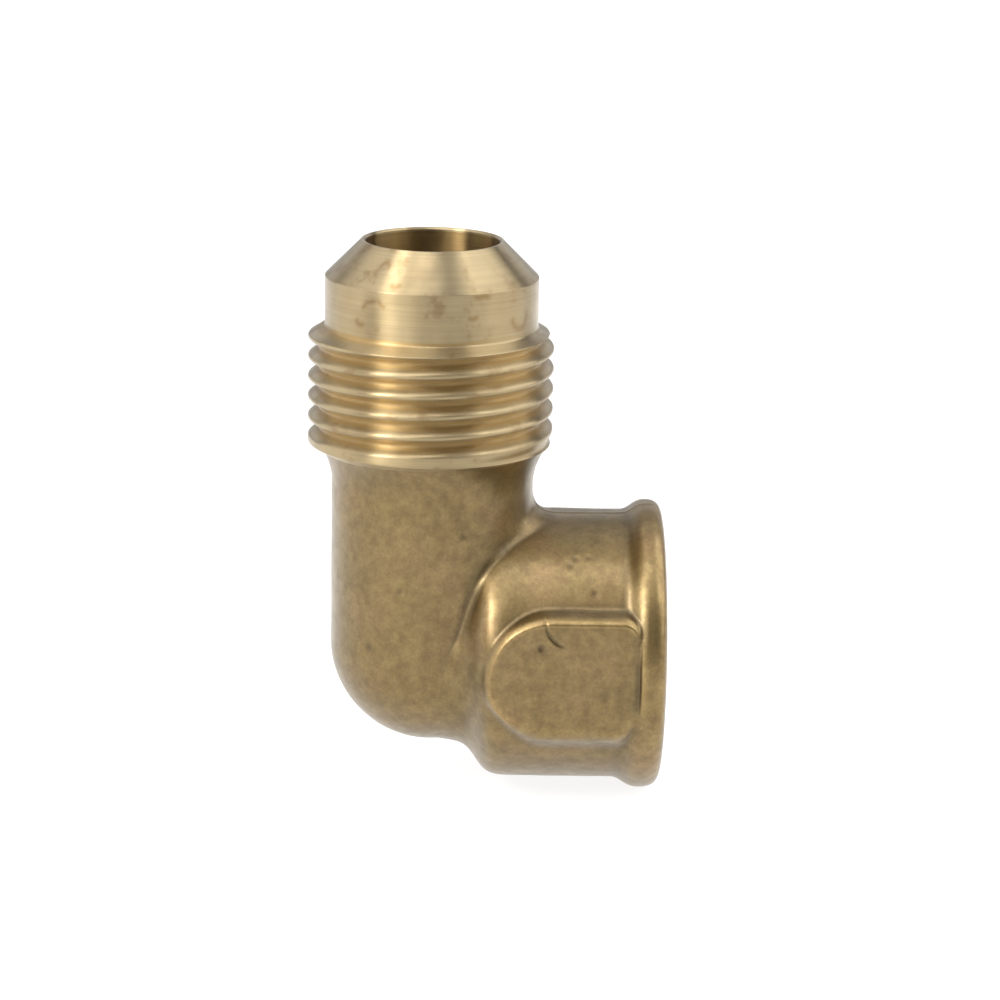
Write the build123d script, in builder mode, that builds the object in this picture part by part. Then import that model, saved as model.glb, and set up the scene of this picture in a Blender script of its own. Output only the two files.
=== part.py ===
from build123d import *
import os

# A 90 degree elbow fitting, hot forged in brass and then turned, threaded and tapped.
# Millimetres. The origin is where the two passages cross: +Z runs up the flare end,
# +X runs out of the pipe socket. It is one forging, cut here into three zones.

# Flare end, for a half-inch tube: 3/4-16 thread behind a 45 degree seat
thread_radius = 9.59
thread_pitch = 1.5875
thread_depth = 0.88
root_flat = 0.26
crest_flat = 0.20
rim_z = 16.30               # underside of the last full rim
rim_round = 0.30
thread_top_z = 24.95
neck_z = 25.55              # where the thread's lead-in meets the land
land_radius = 8.30
seat_base_z = 29.495
nose_radius = 5.50
groove_start_z = 17.13      # centre of the groove where it starts, at the back
groove_start_angle = 90
groove_turns = 6.2

# Passages
flare_bore_radius = 5.20
nose_chamfer = 0.15
flare_bore_end = -2.50
cross_bore_radius = 5.00
drill_point_depth = 3.00
pipe_wall_radius = 7.30     # tapping size of the 3/8 pipe thread
pipe_wall_end = 6.80
mouth_chamfer = 1.10

# Forged body
leg_radius = 7.81
leg_offset = 0.28           # the turned end is this far off the forging's centre line
flare_out_z = 13.30         # the leg widens from here up to the rim
flare_out_radius = 8.50
seam_z = 15.80              # flare end above, forged leg below
stub_near_radius = 7.68      # the stub opens slightly from the leg to the shoulder
stub_far_radius = 8.00
bell_radius = 10.67
shoulder_start = 2.90
shoulder_end = 4.75
shoulder_round = 1.60
face_x = 18.45
bead_radius = 11.45
bead_round = 1.40

# The slanting seam between leg and socket, as two points of its line
seam_top = (8.20, 11.40)
seam_low = (1.60, -8.00)

# Wrench pad on each side of the socket
pad_y = 10.95
pad_root_y = 7.00
pad_centre_x = 10.20
pad_left_radius = 5.45
pad_right_x = 16.30
pad_corner_radius = 1.20
pad_edge_round = 0.35


def revolved(points, plane, axis, rounds=()):
    """A solid turned from a closed outline; rounds lists (x, y, radius) of corners to round."""
    with BuildPart(mode=Mode.PRIVATE) as turned:
        with BuildSketch(plane) as outline:
            with BuildLine():
                Polyline(*points, close=True)
            make_face()
            for x, y, radius in rounds:
                corner = outline.vertices().sort_by_distance((x, y, 0))[0]
                fillet(corner, radius)
        revolve(axis=axis)
    return turned.part


nose_z = seat_base_z + land_radius - nose_radius

# Turned blank of the flare end
with BuildPart() as flare_blank:
    add(
        revolved(
            [
                (0, seam_z),
                (flare_out_radius, seam_z),
                (thread_radius - rim_round, rim_z),
                (thread_radius, rim_z + rim_round),
                (thread_radius, thread_top_z),
                (land_radius, neck_z),
                (land_radius, seat_base_z),
                (nose_radius, nose_z),
                (0, nose_z),
            ],
            Plane.XZ,
            Axis.Z,
        )
    )

# The helical groove, a 60 degree vee with a flat root, run past the top of the thread
groove_radius = thread_radius - thread_depth
vee_width = thread_pitch - crest_flat
vee_slope = (vee_width - root_flat) / thread_depth
overshoot = 0.40
with BuildPart() as groove:
    with BuildLine() as groove_path:
        Helix(
            pitch=thread_pitch,
            height=thread_pitch * groove_turns,
            radius=groove_radius,
            center=(0, 0, groove_start_z),
        )
    groove_plane = Plane(
        origin=groove_path.line @ 0,
        x_dir=(1, 0, 0),
        z_dir=groove_path.line % 0,
    )
    with BuildSketch(groove_plane) as vee:
        outer_width = vee_width + vee_slope * overshoot
        with BuildLine():
            Polyline(
                (0, -root_flat / 2),
                (0, root_flat / 2),
                (thread_depth + overshoot, outer_width / 2),
                (thread_depth + overshoot, -outer_width / 2),
                close=True,
            )
        make_face()
    sweep(is_frenet=True)

# Forged leg with its rounded heel, and the widening under the rim
with BuildPart() as leg:
    with Locations((leg_offset, 0, 0)):
        Sphere(leg_radius)
        Cylinder(leg_radius, flare_out_z, align=(Align.CENTER, Align.CENTER, Align.MIN))
    with BuildSketch(Plane.XY.offset(flare_out_z)) as leg_top:
        with Locations((leg_offset, 0)):
            Circle(leg_radius)
    with BuildSketch(Plane.XY.offset(seam_z)) as rim_foot:
        Circle(flare_out_radius)
    loft(sections=[leg_top.sketch, rim_foot.sketch])

# Forged socket: stub, rounded shoulder, bell, and the bead at its mouth
with BuildPart() as bell:
    add(
        revolved(
            [
                (leg_offset, 0),
                (leg_offset, stub_near_radius),
                (shoulder_start, stub_far_radius),
                (shoulder_end, bell_radius),
                (face_x - bead_round, bell_radius),
                (face_x - bead_round, 0),
            ],
            Plane.XY,
            Axis.X,
            [
                (shoulder_start, stub_far_radius, shoulder_round),
                (shoulder_end, bell_radius, shoulder_round),
            ],
        )
    )
    with BuildSketch(Plane.XY) as bead_outline:
        with Locations((face_x - bead_round, bead_radius - bead_round)):
            Circle(bead_round)
        with Locations((face_x - bead_round, 0)):
            Rectangle(bead_round, bead_radius - bead_round, align=(Align.MIN, Align.MIN))
    revolve(axis=Axis.X)

# One wrench pad: round towards the leg, square towards the bead
with BuildPart() as front_pad:
    with BuildSketch(Plane.XZ.offset(pad_root_y)) as pad_outline:
        with Locations((pad_centre_x, 0)):
            Circle(pad_left_radius)
            Rectangle(
                pad_right_x - pad_centre_x,
                2 * pad_left_radius,
                align=(Align.MIN, Align.CENTER),
            )
        fillet(pad_outline.vertices().group_by(Axis.X)[-1], pad_corner_radius)
    extrude(amount=pad_y - pad_root_y)
    fillet(front_pad.faces().sort_by(Axis.Y)[0].edges(), pad_edge_round)
back_pad = mirror(front_pad.part, about=Plane.XZ)

# Every passage in one cutter: flare bore, cross bore with its drill point, tapped mouth
with BuildPart() as passages:
    add(
        revolved(
            [
                (0, flare_bore_end - drill_point_depth),
                (flare_bore_radius, flare_bore_end),
                (flare_bore_radius, nose_z - nose_chamfer),
                (flare_bore_radius + nose_chamfer, nose_z),
                (flare_bore_radius + nose_chamfer, nose_z + 1),
                (0, nose_z + 1),
            ],
            Plane.XZ,
            Axis.Z,
        )
    )
    add(
        revolved(
            [
                (-drill_point_depth, 0),
                (0, cross_bore_radius),
                (pipe_wall_end - 1, cross_bore_radius),
                (pipe_wall_end, pipe_wall_radius),
                (face_x - mouth_chamfer, pipe_wall_radius),
                (face_x, pipe_wall_radius + mouth_chamfer),
                (face_x + 1, pipe_wall_radius + mouth_chamfer),
                (face_x + 1, 0),
            ],
            Plane.XY,
            Axis.X,
        )
    )

# The slanting seam plane faces the socket
seam = Plane(
    origin=(seam_low[0], 0, seam_low[1]),
    x_dir=(0, 1, 0),
    z_dir=(seam_top[1] - seam_low[1], 0, seam_low[0] - seam_top[0]),
)

turned_groove = groove.part.rotate(Axis.Z, groove_start_angle)
forged_body = (leg.part + bell.part + front_pad.part + back_pad) - passages.part
leg_side = split(forged_body, bisect_by=seam, keep=Keep.BOTTOM)
socket_side = split(forged_body, bisect_by=seam, keep=Keep.TOP)

zones = {
    "flare_end": flare_blank.part - turned_groove - passages.part,
    "elbow_barrel": leg_side,
    "pipe_socket": socket_side,
}

os.makedirs("parts", exist_ok=True)
for name, zone in zones.items():
    zone.label = name
    export_step(zone, f"parts/{name}.step")
    print(name, round(zone.volume, 1), "mm3")
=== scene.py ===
import math
import bpy
import numpy as np
from mathutils import Matrix, Vector


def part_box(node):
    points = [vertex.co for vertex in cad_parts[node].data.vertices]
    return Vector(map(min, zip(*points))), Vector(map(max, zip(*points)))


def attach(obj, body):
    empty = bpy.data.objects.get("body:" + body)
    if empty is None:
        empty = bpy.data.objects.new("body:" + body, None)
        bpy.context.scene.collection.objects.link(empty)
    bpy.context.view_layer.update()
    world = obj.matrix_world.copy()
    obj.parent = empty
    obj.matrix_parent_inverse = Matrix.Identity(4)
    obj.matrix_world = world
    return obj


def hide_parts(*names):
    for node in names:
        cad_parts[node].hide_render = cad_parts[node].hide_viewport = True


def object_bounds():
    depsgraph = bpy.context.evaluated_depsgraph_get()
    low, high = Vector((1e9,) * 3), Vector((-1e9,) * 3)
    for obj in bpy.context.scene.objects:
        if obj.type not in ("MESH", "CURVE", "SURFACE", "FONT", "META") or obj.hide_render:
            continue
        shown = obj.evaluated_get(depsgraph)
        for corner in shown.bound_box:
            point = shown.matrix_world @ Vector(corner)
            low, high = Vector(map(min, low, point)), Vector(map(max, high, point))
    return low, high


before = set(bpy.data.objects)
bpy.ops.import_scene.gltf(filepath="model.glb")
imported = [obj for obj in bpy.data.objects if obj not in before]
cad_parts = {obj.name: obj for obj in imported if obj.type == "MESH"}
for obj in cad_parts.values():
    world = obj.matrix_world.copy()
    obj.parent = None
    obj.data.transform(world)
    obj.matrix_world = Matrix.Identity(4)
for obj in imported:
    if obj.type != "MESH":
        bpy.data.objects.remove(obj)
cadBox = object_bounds()    # the CAD box, before anything new is made

# One brass forging: the turned flare end points up, the pipe socket points along +X. Everything
# below is in millimetres until meshFromGrid turns it to metres.
mm = 0.001
faceInset = 0.07    # the socket's face lies this far inside the CAD box
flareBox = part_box("flare_end")
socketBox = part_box("pipe_socket")
faceX = socketBox[1][0] / mm - faceInset
noseZ = flareBox[1][2] / mm
threadRadius = flareBox[1][0] / mm
beadRadius = socketBox[1][2] / mm


def softStep(x, low, high):
    # 0 below low, 1 above high, and three t squared less two t cubed between them
    t = np.clip((x - low) / (high - low), 0, 1)
    return t * t * (3 - 2 * t)


def softMin(a, b, width):
    # the smaller of two distances, with a round fillet where they differ by less than width
    width = np.maximum(width, 1e-6)
    near = np.maximum(width - np.abs(a - b), 0)
    return np.minimum(a, b) - near * near / (4 * width)


def softMax(a, b, width):
    # the larger of two distances, with the corner between them rounded the same way
    return -softMin(-a, -b, width)


def waves(p, seed, length, count=9):
    # a smooth bumpy field between about -1 and 1: sine waves of one length run in many directions
    rng = np.random.default_rng(seed)
    way = rng.normal(size=(count, 3))
    way /= np.linalg.norm(way, axis=1)[:, None]
    turn = way * (2 * np.pi / (length * rng.uniform(0.7, 1.4, count)))[:, None]
    phase = rng.uniform(0, 2 * np.pi, count)
    return np.sin(p @ turn.T + phase).sum(axis=-1) / math.sqrt(count)


def slopeOf(field, p, reach=0.02):
    # the unit direction in which the field grows, from differences a short reach apart
    shift = np.eye(3) * reach
    rise = np.stack([field(p + shift[k]) - field(p - shift[k]) for k in range(3)], axis=-1)
    return rise / np.maximum(np.linalg.norm(rise, axis=-1, keepdims=True), 1e-9)


def castOut(field, origin, way, near, far, hops):
    # walks every ray outwards to its first step outside the field, then halves that step 14 times
    low = np.full(origin.shape[:-1], float(near))
    high = np.full(low.shape, float(far))
    looking = np.ones(low.shape, bool)
    for hop in np.linspace(near, far, hops + 1)[1:]:
        out = field(origin + way * hop) > 0
        high = np.where(looking & out, hop, high)
        looking &= ~out
        low = np.where(looking, hop, low)
    for _ in range(14):
        middle = (low + high) / 2
        out = field(origin + way * middle[..., None]) > 0
        high = np.where(out, middle, high)
        low = np.where(out, low, middle)
    return origin + way * ((low + high) / 2)[..., None]


def bendRays(pivot, lead, trail, angles, ring):
    # rays of sections that swing about a pivot beside a bend: straight down the first leg,
    # then round by each angle, with the middle point sliding from the first axis to the second
    swing = np.radians(angles)
    away = np.stack([-np.cos(swing), 0 * swing, -np.sin(swing)], axis=-1)
    share = softStep(swing, 0, np.pi / 2)
    middle = np.array([pivot[0], 0, pivot[1]]) + away * (lead + (trail - lead) * share)[:, None]
    across = np.array([0.0, 1.0, 0.0])
    way = np.cos(ring)[None, :, None] * away[:, None, :] + np.sin(ring)[None, :, None] * across
    return np.broadcast_to(middle[:, None, :], way.shape), way


def straightRays(middles, away, ring):
    # rays square to a straight axis, one ring for each middle point
    across = np.array([0.0, 1.0, 0.0])
    way = np.cos(ring)[:, None] * np.array(away, float) + np.sin(ring)[:, None] * across
    way = np.broadcast_to(way[None], (len(middles), len(ring), 3))
    return np.broadcast_to(np.array(middles)[:, None, :], way.shape), way


def roundedOutline(corners, step):
    # follows straight runs between corners given as (along, radius, rounding), each corner an arc
    # that touches both runs, with points about a step apart
    at = np.array([c[:2] for c in corners], float)
    pieces = [at[:1]]
    for k in range(1, len(at) - 1):
        before, after = at[k - 1] - at[k], at[k + 1] - at[k]
        before, after = before / np.linalg.norm(before), after / np.linalg.norm(after)
        half = math.acos(np.clip(before @ after, -1, 1)) / 2
        radius = corners[k][2]
        back = radius / math.tan(half)
        centre = at[k] + (before + after) / np.linalg.norm(before + after) * radius / math.sin(half)
        first, last = at[k] + before * back - centre, at[k] + after * back - centre
        share = np.linspace(0, 1, 9)[:, None]
        arc = first * (1 - share) + last * share
        arc *= radius / np.maximum(np.linalg.norm(arc, axis=1, keepdims=True), 1e-9)
        pieces.append(centre + arc)
    pieces.append(at[-1:])
    line = np.concatenate(pieces)
    gaps = np.linalg.norm(np.diff(line, axis=0), axis=1)
    filled = []
    for k in np.flatnonzero(gaps > 1e-6):
        share = np.linspace(0, 1, max(1, math.ceil(gaps[k] / step)), endpoint=False)[:, None]
        filled.append(line[k] + (line[k + 1] - line[k]) * share)
    return np.concatenate(filled + [line[-1:]])


def bulgeOf(field, p, reach=0.7):
    # how far the skin bulges (above 0) or is hollow (below 0): the field's mean a reach away
    # along each axis, less its own value
    shift = np.eye(3) * reach
    mean = sum(field(p + shift[k]) + field(p - shift[k]) for k in range(3)) / 6
    return (mean - field(p)) / reach * 6


def meshFromGrid(name, points, normals):
    # joins each point to its neighbours along the rows and round the ring, faces the way of the
    # given normals, keeps inside the CAD box, and lays the normals on the mesh for smooth shading
    rows, cols = points.shape[:2]
    index = np.arange(rows * cols).reshape(rows, cols)
    ahead = np.roll(index, -1, axis=1)
    quads = np.stack([index[:-1], ahead[:-1], ahead[1:], index[1:]], axis=-1).reshape(-1, 4)
    flat, lean = points.reshape(-1, 3), normals.reshape(-1, 3)
    facing = np.cross(flat[quads[:, 1]] - flat[quads[:, 0]], flat[quads[:, 3]] - flat[quads[:, 0]])
    if (facing * lean[quads[:, 0]]).sum() < 0:
        quads = quads[:, ::-1]
    flat = np.clip(flat, np.array(cadBox[0]) / mm, np.array(cadBox[1]) / mm) * mm
    mesh = bpy.data.meshes.new(name)
    mesh.from_pydata(flat.tolist(), [], quads.tolist())
    mesh.polygons.foreach_set("use_smooth", np.ones(len(quads), bool))
    mesh.normals_split_custom_set_from_vertices(lean.tolist())
    mesh.update()
    piece = bpy.data.objects.new(name, mesh)
    bpy.context.scene.collection.objects.link(piece)
    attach(piece, "root")
    return piece


def addLayer(piece, name, amount):
    # keeps a number between 0 and 1 with each point of the mesh, for the material to read
    layer = piece.data.attributes.new(name, "FLOAT", "POINT")
    layer.data.foreach_set("value", np.clip(amount, 0, 1).astype(np.float32).ravel())


def gridNormals(points, outward):
    # the cross product of the two grid directions, turned to the side that outward points to
    down = np.gradient(points, axis=0)
    wrapped = np.concatenate([points[:, -1:], points, points[:, :1]], axis=1)
    along = (wrapped[:, 2:] - wrapped[:, :-2]) / 2
    lean = np.cross(down, along)
    lean /= np.maximum(np.linalg.norm(lean, axis=-1, keepdims=True), 1e-9)
    return lean * (1 if (lean * outward).sum() > 0 else -1)


forging = {
    "legRadius": 7.86,
    "ballZ": 0.10,              # height of the middle of the half ball at the heel
    "legOffset": 0.23,          # the turned end is this far off the forging's centre line
    "widenFrom": 12.9,          # height where the leg starts to widen towards the thread's rim
    "widenRate": 0.096,
    "stubRadius": 7.68,
    "stubDraft": 0.10,          # how much the stub opens towards the shoulder
    "shoulderMiddle": 3.98,
    "shoulderSoft": 0.92,
    "upperShift": -0.35,        # the shoulder starts nearer to the leg in its upper half
    "upperSoft": 0.06,
    "bellRadius": 10.66,
    "creaseFillet": 0.85,
    "cornerFillet": 2.0,
    "beadHeight": 1.40,
    "beadHalfWidth": 1.46,
    "beadSquare": 2.8,
    "beadLean": 0.011,          # the bead is this much wider for each millimetre lower down
    "beadFillet": 0.70,
    "skinWave": 0.016,          # how far the skin strays from true, in long and short waves
    "flashWidth": 0.55,         # the trimmed line where the two dies met
    "flashHeight": 0.035,
}

pad = {
    "flatY": 10.93,
    "centreX": 9.45,
    "centreZ": -0.08,
    "radius": 4.97,
    "endX": 16.40,
    "corner": 1.50,
    "lowerCorner": 2.00,
    "draft": math.radians(14),
    "lowerDraft": math.radians(25),
    "chamfer": 0.33,            # the worn slope round the flat
    "edgeRound": 0.18,
    "lowerWear": 1.4,           # the lower edge is far softer
    "footFillet": 0.26,
    "rimGroove": 0.035,         # the flat sinks this much just inside the slope
}


def legField(p):
    # distance from an upright cylinder that ends below in a half ball and widens above by a square law
    x, y, z = p[..., 0] - forging["legOffset"], p[..., 1], p[..., 2]
    widen = forging["widenRate"] * np.maximum(z - forging["widenFrom"], 0) ** 2
    return np.sqrt(x * x + y * y + np.minimum(z - forging["ballZ"], 0) ** 2) - forging["legRadius"] - widen


def bellField(p):
    # distance from a round bar along X whose radius climbs an S from the stub to the bell
    f = forging
    x, radial = p[..., 0], np.hypot(p[..., 1], p[..., 2])
    upper = softStep(p[..., 2], -6, 3)
    soft = f["shoulderSoft"] + f["upperSoft"] * upper
    bend = np.tanh((x - f["shoulderMiddle"] - f["upperShift"] * upper) / soft)
    stub = f["stubRadius"] + f["stubDraft"] * np.clip(x - f["legOffset"], 0, 4)
    radius = stub + (f["bellRadius"] - stub) * (1 + bend) / 2
    slope = (f["bellRadius"] - stub) * (1 - bend * bend) / (2 * soft)
    return np.maximum((radial - radius) / np.sqrt(1 + slope * slope), f["legOffset"] - x), slope, radial


def beadField(p, radial):
    # distance from a ring of oval section, squarer on the mouth's side, its right edge on the face
    f = forging
    half = f["beadHalfWidth"] - f["beadLean"] * p[..., 2]
    x = (p[..., 0] - faceX + half) / half
    r = np.abs(radial - beadRadius + f["beadHeight"]) / f["beadHeight"]
    power = np.where(x > 0, f["beadSquare"], 2.0)
    return ((np.abs(x) ** power + r ** power) ** (1 / power) - 1) * f["beadHeight"]


def padField(p):
    # distance from a plate on each side, round towards the leg and square towards the bead, its
    # sides leaning by the draft and its edge cut at 45 degrees; and from the space that its flat
    # leaves in the bead
    u, v, h = p[..., 0] - pad["centreX"], np.abs(p[..., 2] - pad["centreZ"]), np.abs(p[..., 1]) - pad["flatY"]
    corner = np.where(p[..., 2] > 0, pad["corner"], pad["lowerCorner"])
    toEnd = u - (pad["endX"] - pad["centreX"] - corner)
    toTop = v - (pad["radius"] - corner)
    square = np.hypot(np.maximum(toEnd, 0), np.maximum(toTop, 0)) + np.minimum(np.maximum(toEnd, toTop), 0)
    outline = np.where(u < 0, np.hypot(u, v) - pad["radius"], square - corner)
    lower = softStep(-p[..., 2], 1.5, 4.5)
    draft = pad["draft"] + (pad["lowerDraft"] - pad["draft"]) * lower
    side = (outline + np.maximum(h, -3) * np.tan(draft)) * np.cos(draft)
    slope = (outline + h + pad["chamfer"]) / math.sqrt(2)
    edgeAmount = pad["edgeRound"] + pad["lowerWear"] * lower
    sunk = (1 - lower) * pad["rimGroove"] * np.exp(-((outline + pad["chamfer"] + 0.16) / 0.15) ** 2)
    plate = softMax(softMax(side, slope, edgeAmount), h + sunk, edgeAmount * 0.5)
    space = softMax(outline - h * math.tan(pad["draft"]) + 0.1, -h, pad["edgeRound"])
    return plate, side, space


# marks from handling
nicks = {
    "scratch": (10.95, 4.75, 1.95),     # X and Z of the middle of the arc on the front pad, its radius
    "scratchTurn": (2.9, 4.7),          # radians, from the bottom of the scratch to its top
    "scratchWidth": 0.15,
    "scratchDepth": 0.09,
    "dot": (8.65, 2.75, 0.265, 0.10),   # X and Z on the front pad, its radius and depth
    # a small dent's middle, its radius and depth
    "dents": (
        (-4.6, -6.2, 1.2, 0.35, 0.05), (-2.2, -7.4, 6.1, 0.30, 0.04), (2.6, -7.4, 10.6, 0.30, 0.05),
        (12.8, -8.6, 6.4, 0.28, 0.05), (11.3, -6.3, 8.6, 0.30, 0.05), (12.3, -6.2, 8.7, 0.26, 0.04),
        (10.9, -6.8, 8.2, 0.34, 0.05), (13.6, -10.9, -0.8, 0.55, 0.03), (-5.5, 5.2, -3.0, 0.40, 0.05),
    ),
}


def nickField(p):
    # how deep the marks are: each a bell curve of the distance from its arc or from its middle
    x, y, z = p[..., 0], p[..., 1], p[..., 2]
    front = softStep(-y, 6, 8)
    arcX, arcZ, arcRadius = nicks["scratch"]
    start, end = nicks["scratchTurn"]
    turn = np.arctan2(z - arcZ, x - arcX) % (2 * np.pi)
    arc = np.exp(-((np.hypot(x - arcX, z - arcZ) - arcRadius) / nicks["scratchWidth"]) ** 2)
    arc *= softStep(turn, start, start + 0.4) * (1 - softStep(turn, end - 0.7, end))
    dotX, dotZ, dotRadius, dotDepth = nicks["dot"]
    dot = np.exp(-((x - dotX) ** 2 + (z - dotZ) ** 2) / dotRadius ** 2)
    dents = sum(
        depth * np.exp(-((x - atX) ** 2 + (y - atY) ** 2 + (z - atZ) ** 2) / radius ** 2)
        for atX, atY, atZ, radius, depth in nicks["dents"]
    )
    return front * (nicks["scratchDepth"] * arc + dotDepth * dot) + dents


def forgedField(p):
    # the smallest of the leg's, the bell's, the bead's and the pads' distances, with fillets between.
    # A fillet grows with the angle between the two surfaces, so that they don't swell where they
    # run side by side. A wavy skin, the die line and the nicks are added last.
    f = forging
    leg = legField(p)
    bell, slope, radial = bellField(p)
    flatWay = p - np.array([f["legOffset"], 0, 0])
    flatWay = flatWay * np.stack([np.ones(leg.shape), np.ones(leg.shape), p[..., 2] < 0], axis=-1)
    flatWay /= np.maximum(np.linalg.norm(flatWay, axis=-1, keepdims=True), 1e-9)
    over = np.maximum(radial, 1e-9) * np.sqrt(1 + slope * slope)
    same = flatWay[..., 1] * p[..., 1] + flatWay[..., 2] * p[..., 2] - flatWay[..., 0] * slope * radial
    same = same / over
    size = f["creaseFillet"] + (f["cornerFillet"] - f["creaseFillet"]) * softStep(p[..., 2], 9.2, 10.8)
    bell = np.maximum(bell, p[..., 0] - faceX + f["beadHalfWidth"])
    body = softMin(leg, bell, size * np.clip(1 - same, 0, 1.2))
    body = softMin(body, beadField(p, radial), f["beadFillet"])
    plate, side, space = padField(p)
    body = softMin(body, plate, pad["footFillet"] * softStep(side, -0.9, -0.25))
    body = softMax(body, -space, pad["edgeRound"])
    disc = np.maximum(radial - beadRadius + f["beadHeight"], p[..., 0] - faceX)
    body = np.minimum(body, disc + 50 * (p[..., 0] < faceX - 2))
    body = np.maximum(body, p[..., 0] - faceX)
    calm = softStep(faceX - p[..., 0], 0.0, 1.2)
    body = body + calm * (f["skinWave"] * waves(p, 4, 6.0) + 0.35 * f["skinWave"] * waves(p, 5, 2.2))
    flash = np.exp(-(p[..., 1] / (f["flashWidth"] / 2)) ** 4)
    return body - calm * f["flashHeight"] * flash + nickField(p)


# how the skin's rays are laid: rings up the leg, round the bend, along the bell and over the bead
layout = {
    "pivot": (9.35, 11.95),     # X and Z of the line beside the inner corner that the bend swings about
    "seamAngle": 66.0,          # where the leg's piece meets the socket's
    "legTop": 16.15,
    "beadFoot": 14.8,           # the rings of the bell stand closer from here on
    "columns": 440,
    "padCrowding": 1.6,         # the columns crowd together over the two pads
    "ringInset": 0.1,           # the forged skin ends this far inside the bead's ring
}
pivot = layout["pivot"]
rimX = faceX - forging["beadHalfWidth"]
ringStart = beadRadius - forging["beadHeight"] - layout["ringInset"]


def crowdedAngles():
    # even shares of the running sum of a density that swells at both sides, turned back to angles
    even = np.linspace(-180, 180, 1441)
    density = 1 + layout["padCrowding"] * np.exp(-(np.abs(np.abs(even) - 90) / 36) ** 4)
    total = np.concatenate([[0], np.cumsum((density[1:] + density[:-1]) / 2)])
    return np.radians(np.interp(np.linspace(0, total[-1], layout["columns"] + 1)[:-1], total, even))


def beadRays(ring):
    # they start on a ring inside the bead, and tip from square to the axis to along it
    tip = np.radians(np.linspace(0, 90, 30))[:, None, None]
    across = straightRays([(rimX, 0, 0)], (0, 0, -1), ring)[1][0]
    way = np.cos(tip) * across + np.sin(tip) * np.array([1.0, 0, 0])
    return np.broadcast_to(np.array([rimX, 0, 0]) + across * ringStart, way.shape), way


ringAngles = crowdedAngles()
legHeights = np.linspace(layout["legTop"], pivot[1], 22)[:-1]
legRays = straightRays([(forging["legOffset"], 0, z) for z in legHeights], (-1, 0, 0), ringAngles)
reach = (pivot[0] - forging["legOffset"], pivot[1])
upperBend = bendRays(pivot, *reach, np.linspace(0, layout["seamAngle"], 140), ringAngles)
lowerBend = bendRays(pivot, *reach, np.linspace(layout["seamAngle"], 90, 56), ringAngles)
bellX = np.concatenate([
    np.linspace(pivot[0], layout["beadFoot"], 46)[1:-1],
    np.linspace(layout["beadFoot"], rimX, 36)[:-1],
])
bellRays = straightRays([(x, 0, 0) for x in bellX], (0, 0, -1), ringAngles)


def forgedPiece(name, node, rays):
    # casts each set of rays out through the forging's field, between its near and far distance in
    # so many hops, and hangs the skin between the ends
    points = np.concatenate([castOut(forgedField, *ray, *walk) for ray, walk in rays])
    piece = meshFromGrid(name, points, slopeOf(forgedField, points))
    bulge = bulgeOf(forgedField, points)
    addLayer(piece, "shadeInHollows", 9 * nickField(points) - bulge)    # painted shade in the creases and nicks, deeper where the skin is hollow; a nick 0.11 mm deep gets all of it
    # painted highlight, partly rubbed wear: lighter where the skin bulges, on the bead, the shoulder and the
    # pad edges
    addLayer(piece, "edgeAmount", bulge - 0.15)
    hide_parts(node)
    return piece


legSkin = forgedPiece("forged_leg", "elbow_barrel", [(legRays, (7, 10, 3)), (upperBend, (6, 13, 14))])
print("forged leg done")
socketSkin = forgedPiece(
    "forged_socket", "pipe_socket",
    [(lowerBend, (6, 13, 14)), (bellRays, (9, 12.5, 7)), (beadRays(ringAngles), (0, 2.5, 2))],
)
print("forged socket done")


flare = {
    "hidden": (15.30, 7.60),    # height and radius of the end that stays inside the leg
    "rimFoot": (16.22, 9.17),
    "rimTop": 16.42,
    "pitch": 1.5875,            # 16 threads to the inch
    "depth": 0.86,
    "rootFlat": 0.28,
    "crestFlat": 0.34,
    "crestRound": 0.34,         # share of the depth over which the crest rounds off
    "groovePhase": 16.775,      # height of the groove's middle on the +X side
    "fadeFrom": -0.45,          # turns of the groove over which the die lets go
    "fadeTo": 0.45,
    "landRadius": 8.30,
    "noseRadius": 5.50,
    "holeRadius": 5.20,
    "threadTop": 24.95,
    "landFoot": 25.55,
    # strokes of dried oil: degrees right of the front, height, radius, width, from and to radians
    "strokes": (
        (53, 27.9, 1.30, 0.30, 3.5, 6.28),
        (26, 28.7, 0.70, 0.24, 0.2, 2.6), (20, 28.2, 0.60, 0.20, 4.2, 6.0),
        (-31, 28.0, 0.95, 0.22, 1.3, 3.4), (-40, 27.4, 0.55, 0.24, 3.2, 5.4),
        (-24, 28.8, 0.60, 0.18, 2.7, 4.6), (-33, 30.6, 0.70, 0.20, 0.4, 2.8),
        (-20, 30.4, 0.50, 0.20, 3.4, 5.8), (140, 27.4, 0.90, 0.25, 2.0, 5.0),
    ),
}


def threadShape(offset, width, flat, depth, crestRound=0.16):
    # depth of a 60 degree vee at a distance from its middle: it climbs evenly from the crest's edge
    # to the flat bottom, and its corners are softened by a share of the depth
    climb = (width / 2 - np.abs(offset)) / ((width - flat) / 2)
    return depth * softMin(softMax(climb, 0, crestRound), 1, 0.16)


def tarnishField(angle, z):
    # the strokes, each an arc on the unrolled skin that fades by a bell curve across its width
    total = 0 * z + 0 * angle
    for side, height, radius, width, start, end in flare["strokes"]:
        across = flare["landRadius"] * ((angle - math.radians(side - 90) + np.pi) % (2 * np.pi) - np.pi)
        turn = np.arctan2(z - height, across) % (2 * np.pi)
        wobble = radius * (1 + 0.2 * np.sin(2.3 * turn + side))    # so that no arc is quite round
        ring = np.exp(-((np.hypot(across, z - height) - wobble) / width) ** 2)
        total += ring * softStep(turn, start, start + 0.5) * (1 - softStep(turn, end - 0.5, end))
    return total


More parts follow.
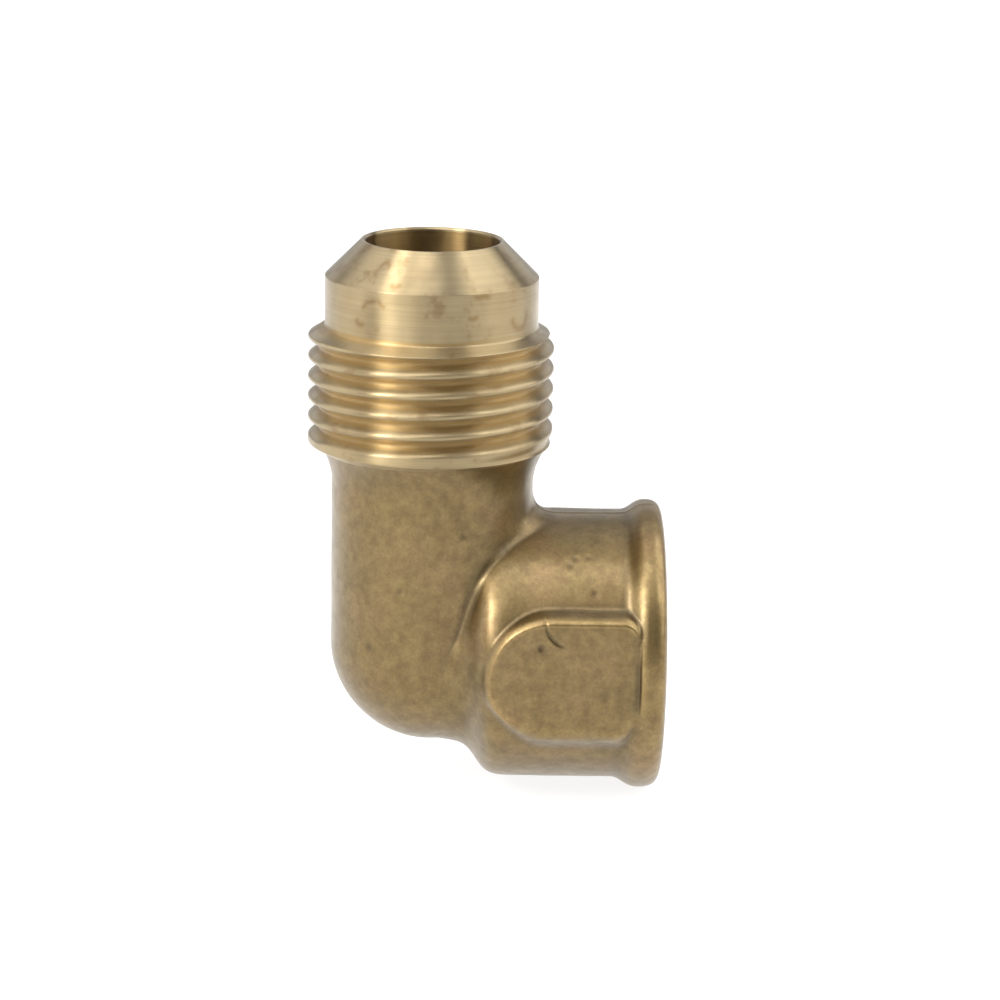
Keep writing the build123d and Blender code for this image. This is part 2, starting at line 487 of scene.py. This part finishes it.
def flareEnd():
    # an outline turned about Z, less a groove that climbs one pitch each turn to the right
    f = flare
    seatZ = noseZ - (f["landRadius"] - f["noseRadius"])     # a 45 degree seat
    outline = roundedOutline(
        [
            (*f["hidden"], 0), (*f["rimFoot"], 0.10), (f["rimTop"], threadRadius, 0.22),
            (f["threadTop"], threadRadius, 0.15), (f["landFoot"], f["landRadius"], 0.25),
            (seatZ, f["landRadius"], 0.10), (noseZ, f["noseRadius"], 0.06),
            (noseZ, f["holeRadius"] + 0.12, 0.04), (noseZ - 0.14, f["holeRadius"], 0.05),
            (noseZ - 0.3, f["holeRadius"], 0),
        ],
        0.082,
    )
    angle = np.linspace(0, 2 * np.pi, 321)[:-1]
    z, r = np.meshgrid(outline[:, 0], angle, indexing="ij")[0], np.repeat(outline[:, 1:], len(angle), axis=1)
    turns = angle[None, :] / (2 * np.pi)
    lap = np.round((z - f["groovePhase"]) / f["pitch"] - turns)
    offset = z - f["groovePhase"] - f["pitch"] * (lap + turns)
    let = softStep(lap + turns, f["fadeFrom"], f["fadeTo"])
    groove = threadShape(offset, f["pitch"] - f["crestFlat"], f["rootFlat"], f["depth"], f["crestRound"])
    cut = threadRadius - let * groove
    inThread = (z > 16.25) & (z < f["landFoot"] + 0.3) & (r > f["landRadius"] - 0.01)
    r = np.where(inThread, softMin(r, np.maximum(cut, f["landRadius"] + 0.02), 0.06), r)
    # painted shade at the bottom of the thread and on its downward flank
    threadShade = np.where(inThread, softStep(let * groove / f["depth"], 0.25, 0.95), 0)
    threadShade = threadShade * np.where(offset > -0.35, 1.0, 0.45)     # less painted shade on the groove's lower flank, which faces up
    points = np.stack([r * np.cos(angle), r * np.sin(angle), z], axis=-1)
    outward = np.stack([np.cos(angle) + 0 * z, np.sin(angle) + 0 * z, 0 * z], axis=-1)
    piece = meshFromGrid("turned_flare_end", points, gridNormals(points, outward))
    addLayer(piece, "shadeInHollows", threadShade)
    addLayer(piece, "tarnish", 0.7 * tarnishField(angle, z))
    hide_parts("flare_end")
    return piece


flareSkin = flareEnd()
print("flare end done")


tapped = {
    "pitch": 1.4111,            # 18 threads to the inch
    "taper": 1 / 32,
    "minorAtMouth": 7.42,
    "depth": 0.98,
    "rootFlat": 0.16,
    "crestFlat": 0.16,
    "mouthRadius": 8.45,
    "fade": (7.2, 10.0),        # the groove grows from nothing to whole between these X
    "endX": 6.8,
    "coneLength": 1.0,
    "crossRadius": 5.0,
}


def tappedMouth():
    # an outline turned about X: the face, the chamfer, a wall that narrows by the taper and the
    # drill's cone, less a groove that winds inwards
    t = tapped
    chamferX = faceX - (t["mouthRadius"] - t["minorAtMouth"])
    wallEnd = t["minorAtMouth"] - t["taper"] * (chamferX - t["endX"])
    throatX = t["endX"] - t["coneLength"]
    outline = roundedOutline(
        [
            (faceX, ringStart, 0), (faceX, t["mouthRadius"], 0.08), (chamferX, t["minorAtMouth"], 0.10),
            (t["endX"], wallEnd, 0.10), (throatX, t["crossRadius"], 0.06),
            (throatX - 0.3, t["crossRadius"], 0),
        ],
        0.07,
    )
    angle = np.linspace(0, 2 * np.pi, 241)[:-1]
    x, r = np.repeat(outline[:, :1], len(angle), axis=1), np.repeat(outline[:, 1:], len(angle), axis=1)
    turns = angle[None, :] / (2 * np.pi)
    lap = np.round((x - chamferX) / t["pitch"] - turns)
    offset = x - chamferX - t["pitch"] * (lap + turns)
    groove = threadShape(offset, t["pitch"] - t["crestFlat"], t["rootFlat"], t["depth"])
    wall = t["minorAtMouth"] - t["taper"] * (chamferX - x)
    cut = wall + groove * softStep(x, *t["fade"])
    inThread = (x < faceX - 0.02) & (x > t["endX"] + 0.05)
    r = np.where(inThread, softMax(r, cut, 0.05), r)
    points = np.stack([x, r * np.cos(angle), r * np.sin(angle)], axis=-1)
    inward = np.stack([0 * x, -np.cos(angle) + 0 * x, -np.sin(angle) + 0 * x], axis=-1)
    inThroat = (x < faceX - 0.2)[..., None]
    piece = meshFromGrid("tapped_mouth", points, gridNormals(points, inward * inThroat))
    return piece


drilled = {
    "floorZ": -2.5,             # where the upright hole's wall ends and its cone starts
    "uprightCone": 0.577,       # how deep the cone is for each millimetre of radius
    "levelCone": 0.6,
}


def passageField(p):
    # the smaller distance from two drilled holes, each a cylinder ended by the cone that its drill
    # point left
    x, y, z = p[..., 0], p[..., 1], p[..., 2]
    down, along = np.hypot(x, y), np.hypot(y, z)
    wide, narrow = flare["holeRadius"], tapped["crossRadius"]
    steep, shallow = drilled["uprightCone"], drilled["levelCone"]
    upright = np.maximum(down - wide, (drilled["floorZ"] - (wide - down) * steep - z) / math.hypot(1, steep))
    level = np.maximum(along - narrow, (-(narrow - along) * shallow - x) / math.hypot(1, shallow))
    return np.minimum(upright, level)


def drilledPassage():
    # rays from a bent middle line out to the two drilled holes
    ring = np.linspace(-np.pi, np.pi, 161)[:-1]
    edge = (flare["holeRadius"] + 0.05, tapped["crossRadius"] + 0.05)
    heights = np.linspace(noseZ - 0.28, edge[1], 60)[:-1]
    lengths = np.linspace(edge[0], tapped["endX"] - tapped["coneLength"] - 0.25, 4)[1:]
    rays = [
        straightRays([(0, 0, z) for z in heights], (-1, 0, 0), ring),
        bendRays(edge, *edge, np.linspace(0, 90, 90), ring),
        straightRays([(x, 0, 0) for x in lengths], (0, 0, -1), ring),
    ]
    points = castOut(passageField, *[np.concatenate(part) for part in zip(*rays)], 0, 12, 24)
    piece = meshFromGrid("drilled_passage", points, -slopeOf(passageField, points))
    return piece


mouthSkin = tappedMouth()
passageSkin = drilledPassage()
print("mouth and passages done")


def linear(code, alpha=1.0):
    # sRGB hex to linear: divide by 12.92 near black, else a 2.4 power
    parts = [int(code[k:k + 2], 16) / 255 for k in (1, 3, 5)]
    return [c / 12.92 if c <= 0.04045 else ((c + 0.055) / 1.055) ** 2.4 for c in parts] + [alpha]


def addNode(tree, kind, links=None, **settings):
    # one node: each setting goes to the node's own value or to the socket of that name, and each
    # link joins a socket to another node's output, or sets it where a value is given
    node = tree.nodes.new(kind)
    for key, value in settings.items():
        if hasattr(node, key):
            setattr(node, key, value)
        else:
            node.inputs[key.replace("_", " ")].default_value = value
    for socket, source in (links or {}).items():
        if isinstance(source, bpy.types.NodeSocket):
            tree.links.new(source, node.inputs[socket])
        else:
            node.inputs[socket].default_value = source
    return node


def newMaterial(name):
    # a material with nothing in its tree
    material = bpy.data.materials.new(name)
    material.use_nodes = True
    material.node_tree.nodes.clear()
    return material, material.node_tree


forgedLook = {
    "base": "#806B41",
    "dark": "#725D36",
    "pale": "#8A7649",
    "rosy": "#8E6C52",          # where the skin lost a little zinc in the fire
    "film": 0.65,               # a thin clear oxide film, which whitens the brightest lights
    "filmRoughness": 0.32,
    "roughness": 0.40,
    "grain": 0.22,              # mm, the peened grain that blasting leaves, coarser than it is to show
    "blotch": 0.9,              # mm, from the scale that came off in flakes
    "stain": 5.0,               # mm, from the heat of the die
    "edgeSheenAndWear": 1.45,          # painted highlight on bulging edges, partly edges rubbed bright in the tumbler
    "hollowShade": 0.52,        # painted shade in the creases and nicks
    "grainHeight": 0.010,       # mm
}

turnedLook = {
    "base": "#AB9873",
    "dark": "#9B8762",
    "tarnish": "#8A6C42",
    "groove": "#B79A66",        # the painted shade's colour at the bottom of the thread
    "film": 0.45,
    "roughness": 0.31,
    "smear": 0.96,              # the rings spread reflections this much along the axis
    "feed": 0.14,               # mm between tool marks, drawn coarser than real ones to show
    "sweep": 16.67,             # mm that a tool mark runs before it changes
    "mark": 2.4,                # mm across a tarnish mark
    "cloud": 6.0,               # mm, a slow change of shade
    "markHeight": 0.010,        # mm
    "rootRoughness": 0.14,     # added where the thread's shade is painted, at its bottom
}

# the drilled holes get a darker, browner colour and a thin film
drilledLook = dict(turnedLook, base="#9C8257", dark="#826B44", film=0.1)


def forgedBrass():
    # hot-forged brass, blasted and tumbled: a dull satin skin, finely pitted, olive to tan in
    # soft blotches, so highlights are broad and a little speckled
    look = forgedLook
    material, tree = newMaterial("forgedBrassBlasted")
    place = addNode(tree, "ShaderNodeTexCoord").outputs["Object"]
    fine, blotch, stain = [
        addNode(
            tree, "ShaderNodeTexNoise", {"Vector": place},
            Scale=1 / (look[size] * mm), Detail=detail, Roughness=rough,
        ).outputs["Fac"]
        for size, detail, rough in (("grain", 3.0, 0.6), ("blotch", 4.0, 0.6), ("stain", 3.0, 0.5))
    ]
    shadeInHollows, edgeAmount = [
        addNode(tree, "ShaderNodeAttribute", attribute_name=layer).outputs["Fac"]
        for layer in ("shadeInHollows", "edgeAmount")
    ]
    shade = addNode(tree, "ShaderNodeValToRGB", {"Fac": blotch})
    ramp = shade.color_ramp.elements
    ramp[0].position, ramp[0].color = 0.30, linear(look["dark"])
    ramp[1].position, ramp[1].color = 0.72, linear(look["pale"])
    ramp.new(0.52).color = linear(look["base"])
    warm = addNode(tree, "ShaderNodeMapRange", {"Value": stain}, From_Min=0.45, From_Max=0.70, To_Max=0.22)
    hue = addNode(
        tree, "ShaderNodeMix",
        {0: warm.outputs[0], 6: shade.outputs["Color"], 7: linear(look["rosy"])}, data_type="RGBA",
    )

    # grain and stains make the colour lighter or darker; painted shade darkens the creases and nicks, and a
    # painted highlight, partly rubbed wear, lightens the bulging edges
    tint = hue.outputs[2]
    for source, low, high, dim, bright in (
        (fine, 0.25, 0.75, 0.82, 1.13), (stain, 0.3, 0.7, 0.90, 1.08),
        (shadeInHollows, 0.0, 1.0, 1.0, look["hollowShade"]), (edgeAmount, 0.0, 1.0, 1.0, look["edgeSheenAndWear"]),
    ):
        share = addNode(
            tree, "ShaderNodeMapRange", {"Value": source},
            From_Min=low, From_Max=high, To_Min=dim, To_Max=bright,
        )
        tint = addNode(
            tree, "ShaderNodeVectorMath", {0: tint, "Scale": share.outputs[0]}, operation="SCALE",
        ).outputs[0]
    rough = addNode(
        tree, "ShaderNodeMapRange", {"Value": blotch}, From_Min=0.3, From_Max=0.7,
        To_Min=look["roughness"] + 0.05, To_Max=look["roughness"] - 0.05,
    )
    bump = addNode(tree, "ShaderNodeBump", {"Height": fine}, Strength=1.0, Distance=look["grainHeight"] * mm)
    skin = addNode(
        tree, "ShaderNodeBsdfPrincipled",
        {"Base Color": tint, "Roughness": rough.outputs[0], "Normal": bump.outputs["Normal"]},
        Metallic=1.0, Coat_Weight=look["film"], Coat_Roughness=look["filmRoughness"],
    )
    addNode(tree, "ShaderNodeOutputMaterial", {"Surface": skin.outputs[0]})
    return material


def turnedBrass(name, axis, look):
    # brass cut on a lathe: bright and yellow, with fine rings from the tool and a few brown
    # tarnish marks, so reflections smear along the axis
    material, tree = newMaterial(name)
    place = addNode(tree, "ShaderNodeTexCoord").outputs["Object"]
    spin = [0.0, 0.0, 0.0]
    spin["XYZ".index(axis)] = 1.0
    stretch = [1 / (look["feed" if turns else "sweep"] * mm) for turns in spin]
    laid = addNode(tree, "ShaderNodeMapping", {"Vector": place}, Scale=stretch)
    rings, patch, wide = [
        addNode(
            tree, "ShaderNodeTexNoise", {"Vector": source}, Scale=scale, Detail=detail, Roughness=rough,
        ).outputs["Fac"]
        for source, scale, detail, rough in (
            (laid.outputs[0], 1.0, 4.0, 0.65), (place, 1 / (look["mark"] * mm), 5.0, 0.62),
            (place, 1 / (look["cloud"] * mm), 2.0, 0.5),
        )
    ]
    shadeInHollows, stroke = [
        addNode(tree, "ShaderNodeAttribute", attribute_name=layer).outputs["Fac"]
        for layer in ("shadeInHollows", "tarnish")
    ]
    shade = addNode(tree, "ShaderNodeValToRGB", {"Fac": wide})
    ramp = shade.color_ramp.elements
    ramp[0].position, ramp[0].color = 0.25, linear(look["dark"])
    ramp[1].position, ramp[1].color = 0.55, linear(look["base"])
    mark = addNode(tree, "ShaderNodeMapRange", {"Value": patch}, From_Min=0.57, From_Max=0.66, To_Max=0.5)
    stained = addNode(tree, "ShaderNodeMath", {0: mark.outputs[0], 1: stroke}, operation="MAXIMUM")
    tint = addNode(
        tree, "ShaderNodeMix",
        {0: stained.outputs[0], 6: shade.outputs["Color"], 7: linear(look["tarnish"])}, data_type="RGBA",
    )
    line = addNode(
        tree, "ShaderNodeMapRange", {"Value": rings}, From_Min=0.3, From_Max=0.7, To_Min=0.90, To_Max=1.08,
    )
    lined = addNode(
        tree, "ShaderNodeVectorMath", {0: tint.outputs[2], "Scale": line.outputs[0]}, operation="SCALE",
    )
    # painted shade: the thread's roots and downward flanks take the groove colour
    grooveShaded = addNode(
        tree, "ShaderNodeMix",
        {0: shadeInHollows, 6: lined.outputs[0], 7: linear(look["groove"])}, data_type="RGBA",
    )
    rough = addNode(
        tree, "ShaderNodeMapRange", {"Value": patch}, From_Min=0.3, From_Max=0.75,
        To_Min=look["roughness"] - 0.03, To_Max=look["roughness"] + 0.14,
    )
    coarse = addNode(
        tree, "ShaderNodeMath",
        {0: shadeInHollows, 1: look["rootRoughness"], 2: rough.outputs[0]}, operation="MULTIPLY_ADD",
    )
    bump = addNode(tree, "ShaderNodeBump", {"Height": rings}, Strength=1.0, Distance=look["markHeight"] * mm)
    about = addNode(tree, "ShaderNodeVectorMath", {0: place, 1: spin}, operation="CROSS_PRODUCT")
    skin = addNode(
        tree, "ShaderNodeBsdfPrincipled",
        {
            "Base Color": grooveShaded.outputs[2], "Roughness": coarse.outputs[0],
            "Normal": bump.outputs["Normal"], "Tangent": about.outputs[0],
        },
        Metallic=1.0, Anisotropic=look["smear"], Anisotropic_Rotation=0.25,
        Coat_Weight=look["film"], Coat_Roughness=look["roughness"],
    )
    addNode(tree, "ShaderNodeOutputMaterial", {"Surface": skin.outputs[0]})
    return material


forgedMaterial = forgedBrass()
turnedUp = turnedBrass("turnedBrassUpright", "Z", turnedLook)
turnedAlong = turnedBrass("turnedBrassLevel", "X", turnedLook)
drilledUp = turnedBrass("drilledBrass", "Z", drilledLook)
for piece, material in (
    (legSkin, forgedMaterial), (socketSkin, forgedMaterial), (flareSkin, turnedUp),
    (mouthSkin, turnedAlong), (passageSkin, drilledUp),
):
    piece.data.materials.append(material)
print("materials done")


studio = {
    "floor": "#8E8E8D",         # pale grey paper, lit from below until it reads white
    "floorGlow": 0.86,
    "floorHalf": 6000,          # mm, half the floor's width
    "floorGap": 0.02,           # mm between the fitting and the floor
    "sky": 0.22,
    "middle": (4, 0, 8),        # mm, where every lamp aims
    # a lamp stands so many degrees right of the front and above the floor, so far off in mm,
    # with its width and height in mm and how bright its face is
    "lamps": {
        "leftSoftbox": (-38, 46, 1500, (1100, 2800), 2.2),
        "leftBulb": (-52, 34, 1300, (380, 480), 14.0),
        "leftFill": (-100, 30, 1500, (1500, 2400), 1.3),
        "rightSoftbox": (90, 40, 1500, (1600, 1900), 2.0),
        "rightBulb": (57, 44, 1400, (200, 300), 6.0),
        "topBulb": (0, 78, 1400, (800, 260), 1.5),
        "backGlow": (180, 20, 1500, (3200, 600), 0.6),
        "frontTop": (10, 60, 1500, (800, 1200), 0.3),
        "backTop": (180, 65, 1500, (1500, 1000), 0.7),
    },
}


def makeFloor():
    # one square just under the fitting, whose paper also glows by itself
    half, level = studio["floorHalf"] * mm, cadBox[0][2] - studio["floorGap"] * mm
    mesh = bpy.data.meshes.new("floor")
    corners = [(-half, -half, level), (half, -half, level), (half, half, level), (-half, half, level)]
    mesh.from_pydata(corners, [], [(0, 1, 2, 3)])
    floor = bpy.data.objects.new("floor", mesh)
    bpy.context.scene.collection.objects.link(floor)
    material, tree = newMaterial("palePaper")
    paper = addNode(
        tree, "ShaderNodeBsdfPrincipled",
        Base_Color=linear(studio["floor"]), Roughness=0.9,
        Emission_Color=linear("#FFFFFF"), Emission_Strength=studio["floorGlow"],
    )
    addNode(tree, "ShaderNodeOutputMaterial", {"Surface": paper.outputs[0]})
    mesh.materials.append(material)


def makeSky():
    # an even white glow from everywhere else
    world = bpy.data.worlds.new("studio")
    world.use_nodes = True
    glow = world.node_tree.nodes["Background"].inputs
    glow["Color"].default_value = linear("#FFFFFF")
    glow["Strength"].default_value = studio["sky"]
    bpy.context.scene.world = world


def makeLamp(name, right, rise, away, wide, high, glow):
    # a flat lamp on a sphere about the middle, facing it. Its power is its brightness times pi
    # times its area.
    lamp = bpy.data.lights.new(name, "AREA")
    lamp.shape, lamp.size, lamp.size_y = "RECTANGLE", wide * mm, high * mm
    lamp.energy = glow * math.pi * wide * high * mm * mm
    holder = bpy.data.objects.new(name, lamp)
    bpy.context.scene.collection.objects.link(holder)
    side, up = math.radians(right), math.radians(rise)
    way = Vector((math.cos(up) * math.sin(side), -math.cos(up) * math.cos(side), math.sin(up)))
    holder.location = Vector(studio["middle"]) * mm + way * away * mm
    holder.rotation_euler = way.to_track_quat("Z", "Y").to_euler()
    holder.visible_camera = False


view = {
    "place": (-0.877, -256.204, 78.381),    # mm
    "azimuth": 1.4426,                      # degrees, to the right of +Y
    "elevation": -14.611,
    "roll": 1.10,
    "lens": 121.07,
}


def makeCamera():
    # turned right by the azimuth, tipped by the elevation, then rolled about the line of sight
    lens = bpy.data.cameras.new("camera")
    lens.sensor_width, lens.lens = 36, view["lens"]
    lens.clip_start, lens.clip_end = 0.01, 20
    camera = bpy.data.objects.new("camera", lens)
    bpy.context.scene.collection.objects.link(camera)
    turn = Matrix.Rotation(-math.radians(view["azimuth"]), 4, "Z")
    turn = turn @ Matrix.Rotation(math.radians(90 + view["elevation"]), 4, "X")
    turn = turn @ Matrix.Rotation(math.radians(view["roll"]), 4, "Z")
    camera.matrix_world = Matrix.Translation([c * mm for c in view["place"]]) @ turn
    bpy.context.scene.camera = camera


makeFloor()
makeSky()
for lampName, (right, rise, away, (wide, high), glow) in studio["lamps"].items():
    makeLamp(lampName, right, rise, away, wide, high, glow)
makeCamera()
bpy.context.scene.view_settings.view_transform = "Standard"
print("studio done")
